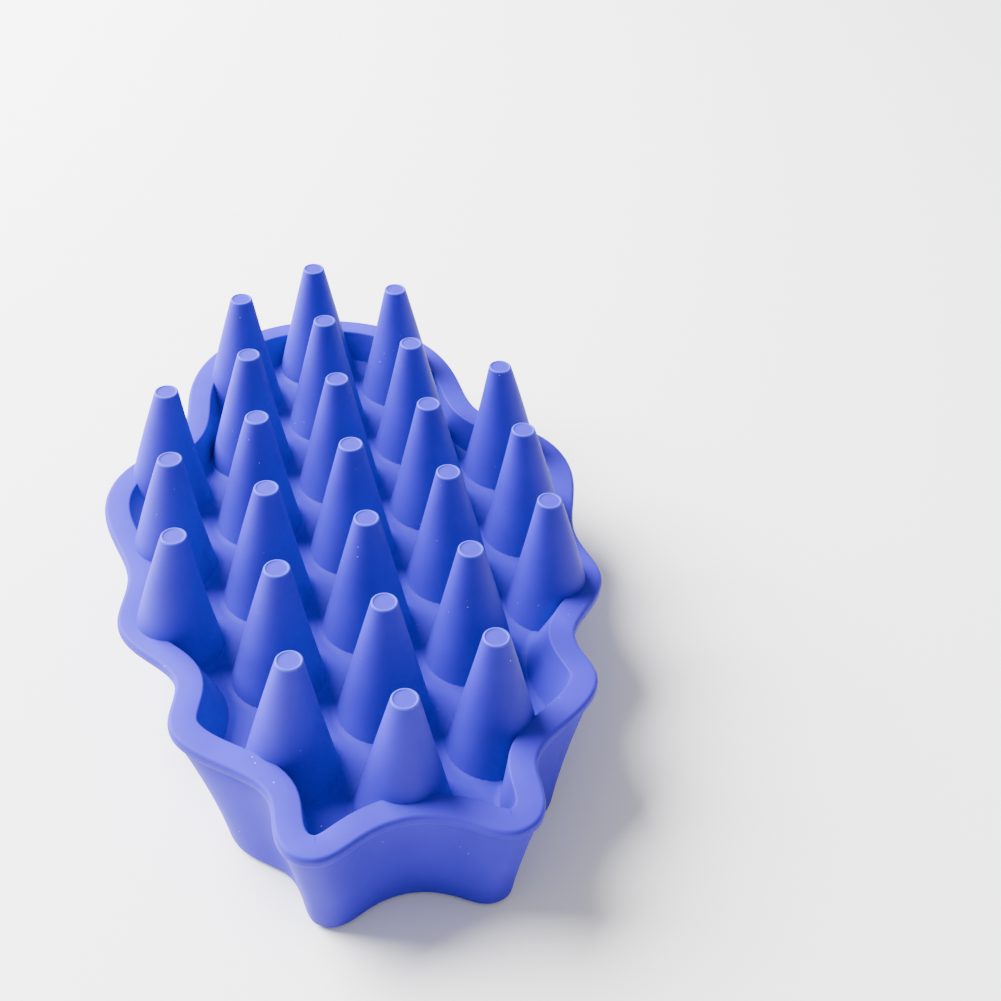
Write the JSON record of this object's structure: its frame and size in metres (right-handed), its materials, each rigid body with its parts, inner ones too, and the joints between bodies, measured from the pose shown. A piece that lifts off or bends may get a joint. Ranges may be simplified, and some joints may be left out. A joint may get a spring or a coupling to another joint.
{
  "type": "rubber curry brush",
  "caption": "Hand-held rubber curry brush: wavy flared skirt, tray of tapered flexible cones, grip face with finger channels, oval cup, round well and ribs.",
  "frame": {"origin": "middle of the brush's footprint box, on the grip face that it rests on", "axes": "+Z the way the cones point, +Y from the notched tail to the round head, X across, symmetric about X=0"},
  "size_m": [0.073, 0.1192, 0.0304],
  "materials": {
    "moulded_rubber": "matte"
  },
  "bodies": {
    "brush_body": {"skirt_wall": "moulded_rubber", "rim_lip": "moulded_rubber", "web_plate": "moulded_rubber", "cone_roots_far_left": "moulded_rubber", "cone_roots_left": "moulded_rubber", "cone_roots_centre": "moulded_rubber", "cone_roots_right": "moulded_rubber", "cone_roots_far_right": "moulded_rubber", "grip_tongue": "moulded_rubber", "channel_wall_left": "moulded_rubber", "channel_wall_right": "moulded_rubber", "well_bridge": "moulded_rubber", "cup_wall": "moulded_rubber", "crossbar_1": "moulded_rubber", "crossbar_2": "moulded_rubber", "crossbar_3": "moulded_rubber", "crossbar_4": "moulded_rubber", "crossbar_5": "moulded_rubber", "crossbar_6": "moulded_rubber", "crossbar_7": "moulded_rubber", "crossbar_8": "moulded_rubber"},
    "cone_01": {"massage_cone_01": "moulded_rubber"},
    "cone_02": {"massage_cone_02": "moulded_rubber"},
    "cone_03": {"massage_cone_03": "moulded_rubber"},
    "cone_04": {"massage_cone_04": "moulded_rubber"},
    "cone_05": {"massage_cone_05": "moulded_rubber"},
    "cone_06": {"massage_cone_06": "moulded_rubber"},
    "cone_07": {"massage_cone_07": "moulded_rubber"},
    "cone_08": {"massage_cone_08": "moulded_rubber"},
    "cone_09": {"massage_cone_09": "moulded_rubber"},
    "cone_10": {"massage_cone_10": "moulded_rubber"},
    "cone_11": {"massage_cone_11": "moulded_rubber"},
    "cone_12": {"massage_cone_12": "moulded_rubber"},
    "cone_13": {"massage_cone_13": "moulded_rubber"},
    "cone_14": {"massage_cone_14": "moulded_rubber"},
    "cone_15": {"massage_cone_15": "moulded_rubber"},
    "cone_16": {"massage_cone_16": "moulded_rubber"},
    "cone_17": {"massage_cone_17": "moulded_rubber"},
    "cone_18": {"massage_cone_18": "moulded_rubber"},
    "cone_19": {"massage_cone_19": "moulded_rubber"},
    "cone_20": {"massage_cone_20": "moulded_rubber"},
    "cone_21": {"massage_cone_21": "moulded_rubber"},
    "cone_22": {"massage_cone_22": "moulded_rubber"},
    "cone_23": {"massage_cone_23": "moulded_rubber"},
    "cone_24": {"massage_cone_24": "moulded_rubber"},
    "cone_25": {"massage_cone_25": "moulded_rubber"}
  },
  "joints": [
    {"name": "bend_cone_01", "type": "hinge", "parent": "brush_body", "child": "cone_01", "pos_m": [-0.027, -0.01478, 0.0184], "axis": [1, 0, 0], "range_deg": [-20, 20], "stiffness_Nm_per_rad": 0.05},
    {"name": "bend_cone_02", "type": "hinge", "parent": "brush_body", "child": "cone_02", "pos_m": [-0.027, 0.00196, 0.0184], "axis": [1, 0, 0], "range_deg": [-20, 20], "stiffness_Nm_per_rad": 0.05},
    {"name": "bend_cone_03", "type": "hinge", "parent": "brush_body", "child": "cone_03", "pos_m": [-0.027, 0.0187, 0.0184], "axis": [1, 0, 0], "range_deg": [-20, 20], "stiffness_Nm_per_rad": 0.05},
    {"name": "bend_cone_04", "type": "hinge", "parent": "brush_body", "child": "cone_04", "pos_m": [-0.0135, -0.03989, 0.0184], "axis": [1, 0, 0], "range_deg": [-20, 20], "stiffness_Nm_per_rad": 0.05},
    {"name": "bend_cone_05", "type": "hinge", "parent": "brush_body", "child": "cone_05", "pos_m": [-0.0135, -0.02315, 0.0184], "axis": [1, 0, 0], "range_deg": [-20, 20], "stiffness_Nm_per_rad": 0.05},
    {"name": "bend_cone_06", "type": "hinge", "parent": "brush_body", "child": "cone_06", "pos_m": [-0.0135, -0.00641, 0.0184], "axis": [1, 0, 0], "range_deg": [-20, 20], "stiffness_Nm_per_rad": 0.05},
    {"name": "bend_cone_07", "type": "hinge", "parent": "brush_body", "child": "cone_07", "pos_m": [-0.0135, 0.01033, 0.0184], "axis": [1, 0, 0], "range_deg": [-20, 20], "stiffness_Nm_per_rad": 0.05},
    {"name": "bend_cone_08", "type": "hinge", "parent": "brush_body", "child": "cone_08", "pos_m": [-0.0135, 0.02707, 0.0184], "axis": [1, 0, 0], "range_deg": [-20, 20], "stiffness_Nm_per_rad": 0.05},
    {"name": "bend_cone_09", "type": "hinge", "parent": "brush_body", "child": "cone_09", "pos_m": [-0.0135, 0.04381, 0.0184], "axis": [1, 0, 0], "range_deg": [-20, 20], "stiffness_Nm_per_rad": 0.05},
    {"name": "bend_cone_10", "type": "hinge", "parent": "brush_body", "child": "cone_10", "pos_m": [0, -0.04826, 0.0184], "axis": [1, 0, 0], "range_deg": [-20, 20], "stiffness_Nm_per_rad": 0.05},
    {"name": "bend_cone_11", "type": "hinge", "parent": "brush_body", "child": "cone_11", "pos_m": [0, -0.03152, 0.0184], "axis": [1, 0, 0], "range_deg": [-20, 20], "stiffness_Nm_per_rad": 0.05},
    {"name": "bend_cone_12", "type": "hinge", "parent": "brush_body", "child": "cone_12", "pos_m": [0, -0.01478, 0.0184], "axis": [1, 0, 0], "range_deg": [-20, 20], "stiffness_Nm_per_rad": 0.05},
    {"name": "bend_cone_13", "type": "hinge", "parent": "brush_body", "child": "cone_13", "pos_m": [0, 0.00196, 0.0184], "axis": [1, 0, 0], "range_deg": [-20, 20], "stiffness_Nm_per_rad": 0.05},
    {"name": "bend_cone_14", "type": "hinge", "parent": "brush_body", "child": "cone_14", "pos_m": [0, 0.0187, 0.0184], "axis": [1, 0, 0], "range_deg": [-20, 20], "stiffness_Nm_per_rad": 0.05},
    {"name": "bend_cone_15", "type": "hinge", "parent": "brush_body", "child": "cone_15", "pos_m": [0, 0.03544, 0.0184], "axis": [1, 0, 0], "range_deg": [-20, 20], "stiffness_Nm_per_rad": 0.05},
    {"name": "bend_cone_16", "type": "hinge", "parent": "brush_body", "child": "cone_16", "pos_m": [0, 0.05218, 0.0184], "axis": [1, 0, 0], "range_deg": [-20, 20], "stiffness_Nm_per_rad": 0.05},
    {"name": "bend_cone_17", "type": "hinge", "parent": "brush_body", "child": "cone_17", "pos_m": [0.0135, -0.03989, 0.0184], "axis": [1, 0, 0], "range_deg": [-20, 20], "stiffness_Nm_per_rad": 0.05},
    {"name": "bend_cone_18", "type": "hinge", "parent": "brush_body", "child": "cone_18", "pos_m": [0.0135, -0.02315, 0.0184], "axis": [1, 0, 0], "range_deg": [-20, 20], "stiffness_Nm_per_rad": 0.05},
    {"name": "bend_cone_19", "type": "hinge", "parent": "brush_body", "child": "cone_19", "pos_m": [0.0135, -0.00641, 0.0184], "axis": [1, 0, 0], "range_deg": [-20, 20], "stiffness_Nm_per_rad": 0.05},
    {"name": "bend_cone_20", "type": "hinge", "parent": "brush_body", "child": "cone_20", "pos_m": [0.0135, 0.01033, 0.0184], "axis": [1, 0, 0], "range_deg": [-20, 20], "stiffness_Nm_per_rad": 0.05},
    {"name": "bend_cone_21", "type": "hinge", "parent": "brush_body", "child": "cone_21", "pos_m": [0.0135, 0.02707, 0.0184], "axis": [1, 0, 0], "range_deg": [-20, 20], "stiffness_Nm_per_rad": 0.05},
    {"name": "bend_cone_22", "type": "hinge", "parent": "brush_body", "child": "cone_22", "pos_m": [0.0135, 0.04381, 0.0184], "axis": [1, 0, 0], "range_deg": [-20, 20], "stiffness_Nm_per_rad": 0.05},
    {"name": "bend_cone_23", "type": "hinge", "parent": "brush_body", "child": "cone_23", "pos_m": [0.027, -0.01478, 0.0184], "axis": [1, 0, 0], "range_deg": [-20, 20], "stiffness_Nm_per_rad": 0.05},
    {"name": "bend_cone_24", "type": "hinge", "parent": "brush_body", "child": "cone_24", "pos_m": [0.027, 0.00196, 0.0184], "axis": [1, 0, 0], "range_deg": [-20, 20], "stiffness_Nm_per_rad": 0.05},
    {"name": "bend_cone_25", "type": "hinge", "parent": "brush_body", "child": "cone_25", "pos_m": [0.027, 0.0187, 0.0184], "axis": [1, 0, 0], "range_deg": [-20, 20], "stiffness_Nm_per_rad": 0.05}
  ]
}
